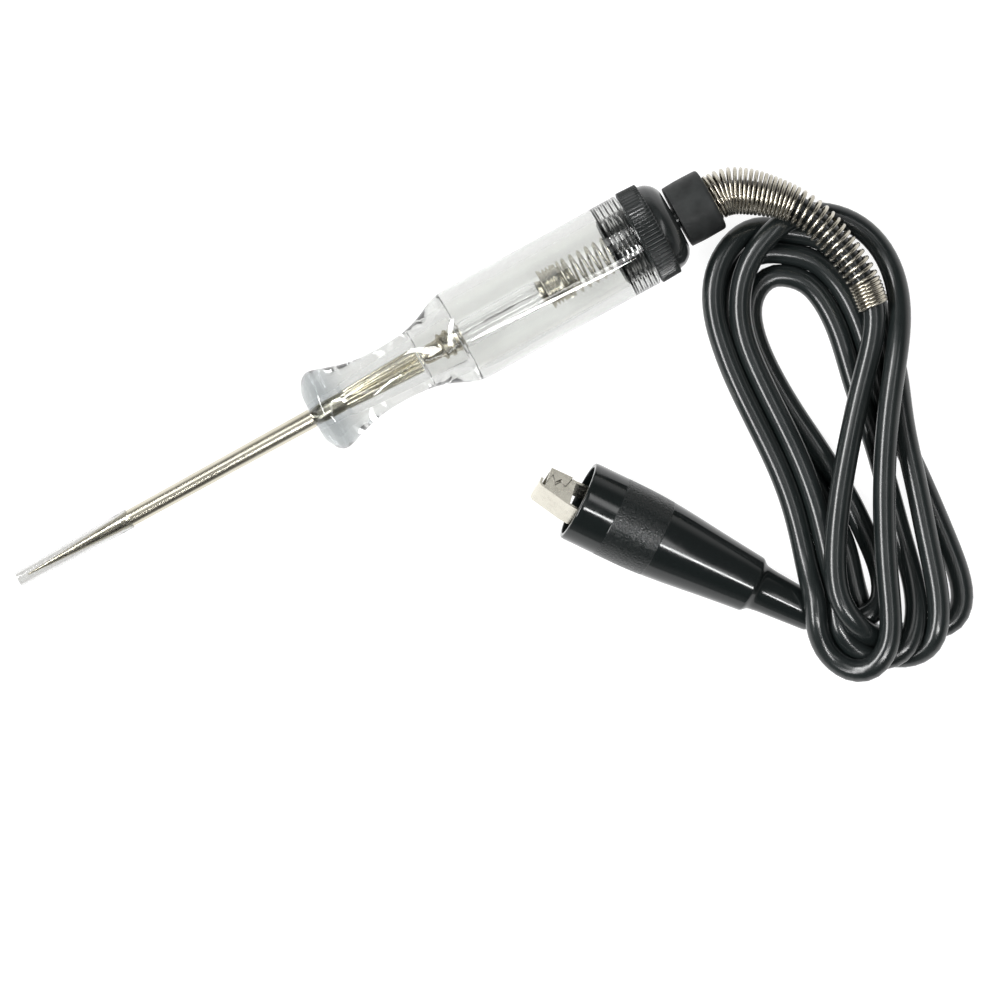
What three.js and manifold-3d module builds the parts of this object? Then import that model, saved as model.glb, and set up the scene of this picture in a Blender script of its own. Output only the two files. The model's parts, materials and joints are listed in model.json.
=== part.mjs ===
// Circuit test light: a probe with a lamp in a clear handle, and a cord to a ground clip.
// It lies on a table, which is the plane z = 0. Units are millimetres and +Z is up.
// The tool's axis runs along +X, from the needle tip to the collar.
import * as THREE from "three";
import { mergeVertices } from "three/addons/utils/BufferGeometryUtils.js";
import Module from "manifold-3d";

const wasm = await Module();
wasm.setup();

// Driving dimensions of the tool. Stations are measured from the front of the handle.
const AXIS_HEIGHT = 9.7;
const HANDLE_FRONT = -11.15;
const GAP = 0.3;
const RUNNING = 0.08;

const NEEDLE_POINT = -62.7;
const NEEDLE_ROOT = -40.6;
const ROD_REAR = 23.2;
const ROD_RADIUS = 1.9;
const NEEDLE_RADIUS = 1.5;
const SPLINE_START = 6;
const SPLINE_RADIUS = 2.5;
const SPLINE_COUNT = 10;

const COVER_TIP = -64.9;
const COVER_REAR = -40.4;
const COVER_WALL = 0.35;

const BARREL_REAR = 70.9;
const BARREL_RADIUS = 9.5;
const CHAMBER_RADIUS = 7.3;
const CHAMBER_START = 32.2;

const LAMP_FRONT = 25.4;
const LAMP_LENGTH = 30.4;
const LAMP_GLASS_RADIUS = 2.7;
const LAMP_CAP_LENGTH = 4.6;
const LAMP_CAP_RADIUS = 3.0;

const CAP_FRONT = 65;
const CAP_KNURL_START = 71.2;
const CAP_KNURL_END = 75.6;
const CAP_END = 79;
const PLUG_RADIUS = 6.9;

const COLLAR_START = 79.6;
const COLLAR_END = 87.2;
const COLLAR_RADIUS = 6.4;

const CORD_RADIUS = 2.2;
const CORD_BORE = 2.45;

const CONTACT_SPRING_RADIUS = 2.9;
const CONTACT_SPRING_WIRE = 0.24;
const CONTACT_SPRING_TURNS = 9;

const STRAIN_WIRE = 0.2;
const STRAIN_CLOSE_TURNS = 20;
const STRAIN_OPEN_TURNS = 15;
const STRAIN_END_TURNS = 7;
const STRAIN_TURNS = STRAIN_CLOSE_TURNS + STRAIN_OPEN_TURNS + STRAIN_END_TURNS;

// Driving dimensions of the ground clip. Its stations are measured from the mouth of the boot.
const CLIP_MOUTH = [25.65, -38.45, 9.6];
const CLIP_HEADING = -54.6;
const CLIP_TILT = 6;
const CLIP_ROLL = -39;
const BOOT_RADIUS = 8;
const BOOT_WALL = 0.9;
const BOOT_LENGTH = 37.7;
const NECK_END = 48.6;
const NECK_RADIUS = 3.7;
const JAW_WIDTH = 5.2;
const JAW_SHEET = 0.5;
const PIVOT = 9;
const PIN_RADIUS = 0.9;
const TAIL_START = 30;
const CRIMP_HEIGHT = -2.7;
const CONDUCTOR_RADIUS = 0.9;

// Side views of the jaws, from tip to tail, as [x, y]. The upper jaw is wide only at its nose.
const LOWER_BACK = [
  [-8.6, -0.9],
  [-8.6, -2.2],
  [-8.1, -2.75],
  [-7.3, -2.95],
  [-1.7, -4.2],
  [3, -4.6],
  [12, -4.5],
  [17, -4.6],
  [25, -4.75],
];
const LOWER_TEETH = [
  [-7.3, -2.9],
  [-7.3, -1.6],
  [-6.62, 0.51],
  [-5.55, -1.4],
  [-4.75, -0.05],
  [-3.6, -0.66],
  [-2.66, 2.05],
  [-2, 1.9],
  [-1.85, -0.6],
  [-1.6, -4.1],
];
const UPPER_NOSE = [
  [-7.35, 2.3],
  [-2.87, 2.4],
];
const UPPER_BACK = [
  [-7.3, 2.3],
  [-2.6, 2.4],
  [2, 2.8],
  [11.4, 3],
  [17, 4.4],
  [25, 4.9],
];
const UPPER_TEETH = [
  [-7.35, 2.2],
  [-7.35, -1.3],
  [-6.67, 0.97],
  [-5.7, -0.39],
  [-4.85, 0.78],
  [-3.7, -0.47],
  [-2.87, 2.2],
];

// The bundled cord's two round ends, and the line that parts the low end from the high one.
const BUNDLE_TOP = { x: 81.5, y: -27.5, radius: 21.2, height: 5.4 };
const BUNDLE_FOOT = { x: 70.5, y: -81.8, radius: 14.4, height: 13.4 };
const PARTING_POINT = [83.6, -45.8];
const PARTING_ANGLE = -130.7;

// The lead's route, from inside the cap, through the collar and the strain relief, to the bundle.
const LEAD_ROUTE = [
  [64, 0, 9.7],
  [70, 0, 9.7],
  [77, 0, 9.7],
  [79, -0.2, 9.7],
  [82, -1.6, 9.9],
  [85, -4, 10.2],
  [88.5, -7.6, 10.4],
  [91, -11.6, 10.5],
  [92.6, -16.5, 10.4],
  [93.7, -23, 10.2],
  [94, -28, 10],
  [93.4, -33, 9.8],
  [90.6, -38, 9.6],
  [87, -42, 9.5],
  [83.8, -45.6, 9.4],
];
const STRAIN_FIRST_POINT = 2;
const STRAIN_LAST_POINT = 11;

const SEGMENTS = 32;
const FINE_SEGMENTS = 20;

const finishes = {
  nickel: [0xb9b4aa, 0.3, 1],
  rodSteel: [0x9d9488, 0.32, 1],
  clearAcrylic: [0xeef1f2, 0.06, 0],
  clearVinyl: [0xe2e4e2, 0.2, 0],
  lampGlass: [0xf4f6f6, 0.04, 0],
  brass: [0xb6a070, 0.35, 1],
  tungsten: [0x6a6a6c, 0.4, 1],
  glossBlack: [0x141516, 0.25, 0],
  matteRubber: [0x2e3031, 0.75, 0],
  cordVinyl: [0x0f1213, 0.22, 0],
  copper: [0xb4703c, 0.4, 1],
};

function finish(name) {
  const [color, roughness, metalness] = finishes[name];
  return new THREE.MeshStandardMaterial({ color, roughness, metalness });
}

const model = new THREE.Group();
const tool = new THREE.Group();
tool.position.set(HANDLE_FRONT, 0, AXIS_HEIGHT);
model.add(tool);
const clip = new THREE.Group();
clip.position.set(...CLIP_MOUTH);
clip.rotation.set(
  THREE.MathUtils.degToRad(CLIP_ROLL),
  THREE.MathUtils.degToRad(CLIP_TILT),
  THREE.MathUtils.degToRad(CLIP_HEADING),
  "ZYX",
);
model.add(clip);

// --- Shape helpers -------------------------------------------------------------------------

function signedVolume(geometry) {
  const p = geometry.getAttribute("position");
  const index = geometry.getIndex();
  const a = new THREE.Vector3();
  const b = new THREE.Vector3();
  const c = new THREE.Vector3();
  let volume = 0;
  for (let i = 0; i < index.count; i += 3) {
    a.fromBufferAttribute(p, index.getX(i));
    b.fromBufferAttribute(p, index.getX(i + 1));
    c.fromBufferAttribute(p, index.getX(i + 2));
    volume += a.dot(b.cross(c)) / 6;
  }
  return volume;
}

// One closed body with shared vertices and its faces pointing out.
function closed(geometry) {
  geometry.deleteAttribute("normal");
  geometry.deleteAttribute("uv");
  const merged = mergeVertices(geometry, 1e-4);
  const kept = [];
  const index = merged.getIndex().array;
  const flip = signedVolume(merged) < 0;
  for (let i = 0; i < index.length; i += 3) {
    const [a, b, c] = [index[i], index[i + 1], index[i + 2]];
    if (a !== b && b !== c && a !== c) {
      kept.push(a, flip ? c : b, flip ? b : c);
    }
  }
  merged.setIndex(kept);
  return merged;
}

function toManifold(geometry) {
  const merged = closed(geometry);
  const vertProperties = new Float32Array(merged.getAttribute("position").array);
  const triVerts = new Uint32Array(merged.getIndex().array);
  return new wasm.Manifold(new wasm.Mesh({ numProp: 3, vertProperties, triVerts }));
}

function fromManifold(manifold) {
  const mesh = manifold.getMesh();
  const geometry = new THREE.BufferGeometry();
  geometry.setAttribute("position", new THREE.Float32BufferAttribute(mesh.vertProperties, 3));
  geometry.setIndex(Array.from(mesh.triVerts));
  return geometry;
}

// A turned piece about the X axis. The profile is a list of [station, radius].
function turned(profile, segments = SEGMENTS) {
  const points = profile.map(([x, r]) => new THREE.Vector2(r, x));
  const lathe = new THREE.LatheGeometry(points, segments);
  lathe.rotateZ(-Math.PI / 2);
  return lathe;
}

// A turned ring or sleeve, whose profile closes on itself.
function turnedRing(profile, segments) {
  return turned([...profile, profile[0]], segments);
}

// A flat outline, pushed along Z and centred on the plane z = 0.
function plate(outline, thickness) {
  const shape = new THREE.Shape(outline.map(([x, y]) => new THREE.Vector2(x, y)));
  const geometry = new THREE.ExtrudeGeometry(shape, { depth: thickness, bevelEnabled: false });
  geometry.translate(0, 0, -thickness / 2);
  return geometry;
}

function swept(curve, radius, sides, steps) {
  const section = new THREE.Shape();
  for (let i = 0; i < sides; i += 1) {
    const angle = (2 * Math.PI * i) / sides;
    const x = radius * Math.cos(angle);
    const y = radius * Math.sin(angle);
    if (i === 0) {
      section.moveTo(x, y);
    } else {
      section.lineTo(x, y);
    }
  }
  section.closePath();
  return new THREE.ExtrudeGeometry(section, { steps, bevelEnabled: false, extrudePath: curve });
}

function route(points) {
  const vectors = points.map(([x, y, z]) => new THREE.Vector3(x, y, z));
  return new THREE.CatmullRomCurve3(vectors, false, "centripetal");
}

// A wire wound round a middle line. radiusAt gives the coil's radius along it, from 0 to 1,
// and turnAt gives how many turns have been made.
class Winding extends THREE.Curve {
  constructor(line, radiusAt, turnAt) {
    super();
    this.line = line;
    this.radiusAt = radiusAt;
    this.turnAt = turnAt;
  }

  getPoint(t, target = new THREE.Vector3()) {
    const centre = this.line.getPointAt(t);
    const tangent = this.line.getTangentAt(t);
    const side = new THREE.Vector3(0, 0, 1).cross(tangent).normalize();
    const up = new THREE.Vector3().crossVectors(tangent, side);
    const angle = 2 * Math.PI * this.turnAt(t);
    const radius = this.radiusAt(t);
    target.copy(centre).addScaledVector(side, radius * Math.cos(angle));
    return target.addScaledVector(up, radius * Math.sin(angle));
  }

  getUtoTmapping(u) {
    return u;
  }
}

function add(group, name, geometry, finishName) {
  const mesh = new THREE.Mesh(closed(geometry), finish(finishName));
  mesh.name = name;
  group.add(mesh);
  return mesh;
}

// --- Probe, handle and lamp ----------------------------------------------------------------

function probeRod() {
  const rod = turned([
    [NEEDLE_POINT, 0],
    [NEEDLE_POINT + 0.3, 0.22],
    [NEEDLE_ROOT - 0.6, NEEDLE_RADIUS - 0.25],
    [NEEDLE_ROOT, ROD_RADIUS - 0.25],
    [0, ROD_RADIUS],
    [ROD_REAR, ROD_RADIUS],
    [ROD_REAR, 0],
  ], FINE_SEGMENTS);
  const flutes = [];
  for (let i = 0; i < 2 * SPLINE_COUNT; i += 1) {
    const angle = (Math.PI * i) / SPLINE_COUNT;
    const r = i % 2 ? SPLINE_RADIUS : ROD_RADIUS - 0.1;
    flutes.push([r * Math.cos(angle), r * Math.sin(angle)]);
  }
  const splineLength = ROD_REAR - SPLINE_START;
  const spline = plate(flutes, splineLength);
  spline.rotateY(Math.PI / 2);
  spline.translate(SPLINE_START + splineLength / 2, 0, 0);
  return fromManifold(toManifold(rod).add(toManifold(spline)));
}

function tipCover() {
  const tip = 1.45;
  const open = 1.95;
  return turnedRing([
    [COVER_TIP, tip],
    [COVER_REAR, open],
    [COVER_REAR, open - COVER_WALL + 0.15],
    [NEEDLE_ROOT - 0.3, open - COVER_WALL + 0.15],
    [NEEDLE_ROOT - 1.2, NEEDLE_RADIUS],
    [COVER_TIP, tip - COVER_WALL],
  ], FINE_SEGMENTS);
}

function handleBarrel() {
  const rodBore = ROD_RADIUS + RUNNING;
  return turnedRing([
    [-0.4, rodBore],
    [-0.2, 4.4],
    [0.5, 6.7],
    [1.4, 7.9],
    [2.4, 8.3],
    [3.6, 8.2],
    [6.6, 7.3],
    [10.2, 6.2],
    [13.8, 5.75],
    [21, 5.8],
    [24, 6.3],
    [26.6, 7.2],
    [29.6, 8.75],
    [31.7, 9.4],
    [33.4, BARREL_RADIUS],
    [BARREL_REAR, BARREL_RADIUS],
    [BARREL_REAR, CHAMBER_RADIUS],
    [CHAMBER_START, CHAMBER_RADIUS],
    [CHAMBER_START - 0.6, 5],
    [ROD_REAR + 0.3, 4.6],
    [ROD_REAR + 0.3, SPLINE_RADIUS + 0.1],
    [SPLINE_START - 0.3, SPLINE_RADIUS + 0.1],
    [SPLINE_START - 0.3, rodBore],
  ]);
}

function frontContactCup() {
  const rear = LAMP_FRONT + LAMP_CAP_LENGTH + 3;
  const bore = LAMP_CAP_RADIUS + 0.12;
  return turnedRing([
    [ROD_REAR + 0.5, 0.8],
    [ROD_REAR + 0.8, 1.7],
    [ROD_REAR + 1.6, 2.4],
    [LAMP_FRONT + 0.8, 3.5],
    [rear, 3.7],
    [rear, bore],
    [LAMP_FRONT - 0.3, bore],
    [LAMP_FRONT - 0.3, 0.8],
  ], FINE_SEGMENTS);
}

function lampCap(start, end) {
  const closedSide = start < end ? 1 : -1;
  const bottom = start + closedSide * 1;
  return turned([
    [start, 0],
    [start, LAMP_CAP_RADIUS - 0.9],
    [start + closedSide * 1.2, LAMP_CAP_RADIUS],
    [end, LAMP_CAP_RADIUS],
    [end, LAMP_CAP_RADIUS - 0.25],
    [bottom + closedSide * 0.6, LAMP_CAP_RADIUS - 0.25],
    [bottom, 0],
  ], FINE_SEGMENTS);
}

function lampGlass() {
  const start = LAMP_FRONT + 1.9;
  const end = LAMP_FRONT + LAMP_LENGTH - 1.9;
  const inner = LAMP_GLASS_RADIUS - 0.45;
  const throat = 0.5;
  return turnedRing([
    [start, throat],
    [start, 1.6],
    [start + 1.4, LAMP_GLASS_RADIUS - 0.1],
    [end - 1.4, LAMP_GLASS_RADIUS - 0.1],
    [end, 1.6],
    [end, throat],
    [end - 1.4, throat],
    [end - 2.2, inner],
    [start + 2.2, inner],
    [start + 1.4, throat],
  ], FINE_SEGMENTS);
}

function lampFilament() {
  const wire = 0.16;
  const front = LAMP_FRONT + 2.2;
  const rear = LAMP_FRONT + LAMP_LENGTH - 2.2;
  const middle = (front + rear) / 2;
  return swept(route([
    [front, 0, 0],
    [front + 6, 0, 0.3],
    [middle - 4, 0, 0.9],
    [middle, 0, 1.2],
    [middle + 4, 0, 0.9],
    [rear - 6, 0, 0.3],
    [rear, 0, 0],
  ]), wire, 6, 24);
}

function rearContactCup() {
  const rear = LAMP_FRONT + LAMP_LENGTH + 0.9;
  const mouth = rear - 6.2;
  const bore = LAMP_CAP_RADIUS + 0.12;
  return turned([
    [rear, 0],
    [rear, 3.5],
    [rear - 0.7, 3.75],
    [rear - 1.2, 3.5],
    [mouth, 3.5],
    [mouth, bore],
    [rear - 0.6, bore],
    [rear - 0.6, 0],
  ], FINE_SEGMENTS);
}

function contactSpring() {
  const start = LAMP_FRONT + LAMP_LENGTH + 0.9 + GAP + CONTACT_SPRING_WIRE;
  const end = CAP_KNURL_START - 0.9;
  const line = new THREE.LineCurve3(new THREE.Vector3(start, 0, 0), new THREE.Vector3(end, 0, 0));
  const winding = new Winding(line, () => CONTACT_SPRING_RADIUS, (t) => CONTACT_SPRING_TURNS * t);
  return swept(winding, CONTACT_SPRING_WIRE, 4, CONTACT_SPRING_TURNS * 8);
}

// --- Cap, collar and strain relief ---------------------------------------------------------

function screwCap() {
  const hollow = 4.6;
  return turnedRing([
    [CAP_FRONT, hollow],
    [CAP_FRONT, PLUG_RADIUS],
    [CAP_KNURL_START, PLUG_RADIUS],
    [CAP_KNURL_START, AXIS_HEIGHT - 0.3],
    [CAP_KNURL_START + 0.4, AXIS_HEIGHT],
    [CAP_KNURL_END - 0.9, AXIS_HEIGHT - 0.3],
    [CAP_KNURL_END, 8.9],
    [CAP_KNURL_END + 1.7, 8.5],
    [CAP_END - 0.7, 7.4],
    [CAP_END, 6.3],
    [CAP_END, CORD_BORE],
    [CAP_KNURL_START + 1.2, CORD_BORE],
    [CAP_KNURL_START + 1.2, hollow],
  ]);
}

function capContactPlate() {
  const front = CAP_KNURL_START - 0.4;
  return turned([
    [front, 0],
    [front, 4.3],
    [front + 0.5, 4.3],
    [front + 0.5, 1.1],
    [front + 1.4, 1.1],
    [front + 1.4, 0],
  ], FINE_SEGMENTS);
}

function collarBush() {
  return turnedRing([
    [COLLAR_START, CORD_BORE],
    [COLLAR_START, COLLAR_RADIUS],
    [COLLAR_END - 1, COLLAR_RADIUS],
    [COLLAR_END - 0.3, COLLAR_RADIUS - 0.4],
    [COLLAR_END, COLLAR_RADIUS - 1],
    [COLLAR_END, CORD_BORE],
  ]);
}

// The coils are close at the collar, open in the middle and close again at the far end.
function strainTurnAt(t) {
  const closeShare = 0.46;
  const openShare = 0.9;
  if (t < closeShare) {
    return (STRAIN_CLOSE_TURNS * t) / closeShare;
  }
  if (t < openShare) {
    return STRAIN_CLOSE_TURNS + (STRAIN_OPEN_TURNS * (t - closeShare)) / (openShare - closeShare);
  }
  return STRAIN_TURNS - (STRAIN_END_TURNS * (1 - t)) / (1 - openShare);
}

function strainRadiusAt(t) {
  const slim = 3.15;
  const wide = 4.15;
  return slim + (wide - slim) * Math.max(0, 1 - t / 0.5) ** 1.3;
}

function strainReliefSpring() {
  const line = route(LEAD_ROUTE.slice(STRAIN_FIRST_POINT, STRAIN_LAST_POINT + 1));
  const winding = new Winding(line, strainRadiusAt, strainTurnAt);
  return swept(winding, STRAIN_WIRE, 4, STRAIN_TURNS * 8);
}

// --- Cord ----------------------------------------------------------------------------------

function cordLead() {
  return swept(route(LEAD_ROUTE.slice(1)), CORD_RADIUS, 8, 28);
}

function coreEnd() {
  const front = HANDLE_FRONT + CAP_KNURL_START + 1.3;
  const rear = LEAD_ROUTE[1][0] - GAP;
  const core = new THREE.CylinderGeometry(CONDUCTOR_RADIUS, CONDUCTOR_RADIUS, rear - front, 12);
  core.rotateZ(Math.PI / 2);
  core.translate((rear + front) / 2, 0, AXIS_HEIGHT);
  return core;
}

// The outline round both ends of the bundle, as two arcs joined by their common tangents.
function bundleOutline() {
  const top = BUNDLE_TOP;
  const foot = BUNDLE_FOOT;
  const heading = Math.atan2(foot.y - top.y, foot.x - top.x);
  const apart = Math.hypot(foot.x - top.x, foot.y - top.y);
  const half = Math.acos((top.radius - foot.radius) / apart);
  const points = [];
  const arc = (circle, from, to, steps) => {
    for (let i = 0; i <= steps; i += 1) {
      const angle = from + ((to - from) * i) / steps;
      points.push([circle.x + circle.radius * Math.cos(angle), circle.y + circle.radius * Math.sin(angle)]);
    }
  };
  arc(top, heading + half, heading + 2 * Math.PI - half, 20);
  arc(foot, heading - half, heading + half, 14);
  return points;
}

// A slab of the bundle's outline, kept on one side of the parting line.
function bundleHalf(height, side) {
  const slab = plate(bundleOutline(), height);
  slab.translate(0, 0, height / 2);
  const keepSize = 160;
  const keep = new THREE.BoxGeometry(keepSize, keepSize, keepSize);
  keep.translate(side * (keepSize / 2 + GAP / 2), 0, 0);
  keep.rotateZ(THREE.MathUtils.degToRad(PARTING_ANGLE));
  keep.translate(PARTING_POINT[0], PARTING_POINT[1], 0);
  return fromManifold(toManifold(slab).intersect(toManifold(keep)));
}

// --- Ground clip ---------------------------------------------------------------------------

function clipBoot() {
  const inner = BOOT_RADIUS - BOOT_WALL;
  return turnedRing([
    [0, inner],
    [0, BOOT_RADIUS - 0.4],
    [0.4, BOOT_RADIUS],
    [14, BOOT_RADIUS],
    [26, 6.9],
    [BOOT_LENGTH - 1, 5.6],
    [BOOT_LENGTH, 5.2],
    [BOOT_LENGTH + 0.6, 4.2],
    [BOOT_LENGTH + 2, NECK_RADIUS],
    [NECK_END - 3, 3.4],
    [NECK_END, 2.9],
    [NECK_END, CORD_BORE],
    [BOOT_LENGTH - 4, CORD_BORE],
    [BOOT_LENGTH - 6, 4.4],
    [24, 6],
    [14, inner],
  ]);
}

// A bent sheet's side view: a line, and the same line moved sideways by the sheet's thickness.
function sheetOutline(line, thickness) {
  const inner = line.map(([x, y], i) => {
    const [ax, ay] = line[Math.max(0, i - 1)];
    const [bx, by] = line[Math.min(line.length - 1, i + 1)];
    const length = Math.hypot(bx - ax, by - ay);
    return [x - (thickness * (by - ay)) / length, y + (thickness * (bx - ax)) / length];
  });
  return [...line, ...inner.reverse()];
}

// The same flat outline on both sides of a jaw that is width wide.
function bothSides(outline, width) {
  const offset = (width - JAW_SHEET) / 2;
  const near = toManifold(plate(outline, JAW_SHEET).translate(0, 0, offset));
  const far = toManifold(plate(outline, JAW_SHEET).translate(0, 0, -offset));
  return near.add(far);
}

// A pivot ear that stands on a back plate at height back. side is 1 when the ear points up.
function ear(back, side) {
  return [
    [PIVOT - 3, back],
    [PIVOT - 1.9, 0],
    [PIVOT - 1, side * 1.6],
    [PIVOT + 1, side * 1.6],
    [PIVOT + 1.9, 0],
    [PIVOT + 2.6, back],
  ];
}

function drilledForPin(solid) {
  const bore = new THREE.CylinderGeometry(PIN_RADIUS + 0.06, PIN_RADIUS + 0.06, 20, FINE_SEGMENTS);
  bore.rotateX(Math.PI / 2);
  bore.translate(PIVOT, 0, 0);
  return fromManifold(solid.subtract(toManifold(bore)));
}

function lowerJaw() {
  const solid = toManifold(plate(sheetOutline(LOWER_BACK, JAW_SHEET), JAW_WIDTH))
    .add(bothSides(LOWER_TEETH, JAW_WIDTH))
    .add(bothSides(ear(-4.3, 1), JAW_WIDTH));
  return drilledForPin(solid);
}

// The upper jaw's ears and tail fit between the lower jaw's ears.
function upperJaw() {
  const width = JAW_WIDTH - 2 * JAW_SHEET - GAP;
  const solid = toManifold(plate(sheetOutline(UPPER_BACK, -JAW_SHEET), width))
    .add(toManifold(plate(sheetOutline(UPPER_NOSE, -JAW_SHEET), JAW_WIDTH)))
    .add(bothSides(UPPER_TEETH, JAW_WIDTH))
    .add(bothSides(ear(2.7, -1), width));
  return drilledForPin(solid);
}

function pivotPin() {
  const half = JAW_WIDTH / 2 + 0.7;
  const head = 1.5;
  const pin = turned([
    [-half, 0],
    [-half, head],
    [-half + 0.5, head],
    [-half + 0.5, PIN_RADIUS - 0.02],
    [half - 0.5, PIN_RADIUS - 0.02],
    [half - 0.5, head],
    [half, head],
    [half, 0],
  ], FINE_SEGMENTS);
  pin.rotateY(-Math.PI / 2);
  pin.translate(PIVOT, 0, 0);
  return pin;
}

function torsionSpring() {
  const coil = 1.45;
  const wire = 0.22;
  const halfWidth = 1.05;
  const points = [[PIVOT + 8, -3.2, -halfWidth]];
  const turns = 4.4;
  const steps = 44;
  for (let i = 0; i <= steps; i += 1) {
    const angle = -Math.PI / 2 - 0.35 + (2 * Math.PI * turns * i) / steps;
    const z = -halfWidth + (2 * halfWidth * i) / steps;
    points.push([PIVOT + coil * Math.cos(angle), coil * Math.sin(angle), z]);
  }
  points.push([PIVOT + 8, 3.2, halfWidth]);
  return swept(route(points), wire, 4, 56);
}

function crimpBarrel() {
  const bore = CONDUCTOR_RADIUS + 0.15;
  const outer = bore + 0.35;
  const ring = turnedRing([[19, bore], [19, outer], [24.4, outer], [24.4, bore]], 16);
  ring.translate(0, CRIMP_HEIGHT, 0);
  return ring;
}

function clipConductor() {
  const line = [[19.4, CRIMP_HEIGHT, 0], [24.9, CRIMP_HEIGHT, 0], [27.6, -1.3, 0], [TAIL_START - 0.4, 0, 0]];
  return swept(route(line), CONDUCTOR_RADIUS, 8, 10);
}

function cordTail() {
  const end = NECK_END + 0.6;
  const tail = new THREE.CylinderGeometry(CORD_RADIUS, CORD_RADIUS, end - TAIL_START, 12);
  tail.rotateZ(Math.PI / 2);
  tail.translate((TAIL_START + end) / 2, 0, 0);
  return tail;
}

// --- Assembly ------------------------------------------------------------------------------

add(tool, "probe_rod", probeRod(), "rodSteel");
add(tool, "tip_cover", tipCover(), "clearVinyl");
add(tool, "handle_barrel", handleBarrel(), "clearAcrylic");
add(tool, "front_contact_cup", frontContactCup(), "brass");
add(tool, "lamp_front_cap", lampCap(LAMP_FRONT, LAMP_FRONT + LAMP_CAP_LENGTH), "nickel");
add(tool, "lamp_glass", lampGlass(), "lampGlass");
add(tool, "lamp_filament", lampFilament(), "tungsten");
const lampRear = LAMP_FRONT + LAMP_LENGTH;
add(tool, "lamp_rear_cap", lampCap(lampRear, lampRear - LAMP_CAP_LENGTH), "nickel");
add(tool, "rear_contact_cup", rearContactCup(), "nickel");
add(tool, "contact_spring", contactSpring(), "nickel");
add(tool, "screw_cap", screwCap(), "glossBlack");
add(tool, "cap_contact_plate", capContactPlate(), "brass");
add(tool, "collar_bush", collarBush(), "matteRubber");
add(model, "strain_relief_spring", strainReliefSpring(), "nickel");
add(model, "cord_lead", cordLead(), "cordVinyl");
add(model, "lead_core_end", coreEnd(), "copper");
add(model, "cord_bundle_upper", bundleHalf(BUNDLE_TOP.height, -1), "cordVinyl");
add(model, "cord_bundle_lower", bundleHalf(BUNDLE_FOOT.height, 1), "cordVinyl");
add(clip, "cord_tail", cordTail(), "cordVinyl");
add(clip, "clip_boot", clipBoot(), "glossBlack");
add(clip, "clip_lower_jaw", lowerJaw(), "nickel");
add(clip, "clip_upper_jaw", upperJaw(), "nickel");
add(clip, "clip_pivot_pin", pivotPin(), "nickel");
add(clip, "clip_torsion_spring", torsionSpring(), "nickel");
add(clip, "clip_crimp_barrel", crimpBarrel(), "nickel");
add(clip, "clip_conductor", clipConductor(), "copper");

export default model;
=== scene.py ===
"""Circuit test light: a probe with a lamp in a clear handle, and a bundled cord to a ground clip.

The tool lies along +X on a table, z = 0. Its stations are millimetres from the front of the
handle, and the clip's stations are millimetres from the mouth of its boot.
"""
import json
import math

import bpy
import numpy as np
from mathutils import Matrix, Vector


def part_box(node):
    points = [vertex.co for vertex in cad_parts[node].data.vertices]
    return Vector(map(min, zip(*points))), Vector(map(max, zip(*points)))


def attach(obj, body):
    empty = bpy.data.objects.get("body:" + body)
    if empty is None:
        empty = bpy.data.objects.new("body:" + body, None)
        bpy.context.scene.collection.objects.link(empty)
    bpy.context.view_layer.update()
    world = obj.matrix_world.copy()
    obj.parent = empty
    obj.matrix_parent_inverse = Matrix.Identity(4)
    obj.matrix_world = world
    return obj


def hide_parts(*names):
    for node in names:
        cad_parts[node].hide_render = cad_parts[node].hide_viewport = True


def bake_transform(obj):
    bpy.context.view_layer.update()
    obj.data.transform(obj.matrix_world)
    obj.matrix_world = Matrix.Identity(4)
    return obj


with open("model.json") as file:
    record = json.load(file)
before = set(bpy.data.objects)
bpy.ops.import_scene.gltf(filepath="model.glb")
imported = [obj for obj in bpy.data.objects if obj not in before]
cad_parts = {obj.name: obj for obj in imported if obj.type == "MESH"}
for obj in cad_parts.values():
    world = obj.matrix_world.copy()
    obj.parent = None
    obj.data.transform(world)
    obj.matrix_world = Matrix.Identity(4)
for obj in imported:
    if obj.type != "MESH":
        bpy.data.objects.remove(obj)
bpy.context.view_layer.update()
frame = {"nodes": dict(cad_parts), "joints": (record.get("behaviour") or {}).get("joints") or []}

MM = 0.001
ROOT = "cap_and_cord"

# The tool's axis, from the frame.
COVER_TIP = -64.9
HANDLE_FRONT_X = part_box("tip_cover")[0][0] / MM - COVER_TIP
cap_low, cap_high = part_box("screw_cap")
AXIS_Z = (cap_low[2] + cap_high[2]) / 2 / MM

# The clip's own axes: X into the boot, Y the way the upper jaw opens, Z along its pin.
CLIP_HEADING = math.radians(-54.6)
CLIP_TILT = math.radians(6)
CLIP_ROLL = math.radians(-39)
PIVOT_STATION = 9
jaw_joint = next(j for j in frame["joints"] if j["name"] == "jaw_open")
clip_turn = (
    Matrix.Rotation(CLIP_HEADING, 4, "Z")
    @ Matrix.Rotation(CLIP_TILT, 4, "Y")
    @ Matrix.Rotation(CLIP_ROLL, 4, "X")
)
clip_pivot = Vector(jaw_joint["pos_m"]) / MM
clip_mouth = clip_pivot - clip_turn.to_3x3() @ Vector((PIVOT_STATION, 0, 0))
CLIP = Matrix.Translation(clip_mouth) @ clip_turn
TOOL = Matrix.Translation((HANDLE_FRONT_X, 0, AXIS_Z))
TABLE = Matrix.Identity(4)

ON_AXIS = 1e-6  # a smaller radius is a point on the axis
FILLET_SHARE = 0.49  # the most of an edge that one rounding takes up

# --- Camera --------------------------------------------------------------------------------

CAMERA_TURN = math.radians(-28.8)
CAMERA_CENTRE = (12.5, -31.2)
CAMERA_HEIGHT = 1200
VIEW_WIDTH = 192.3
SENSOR = 36

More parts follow.
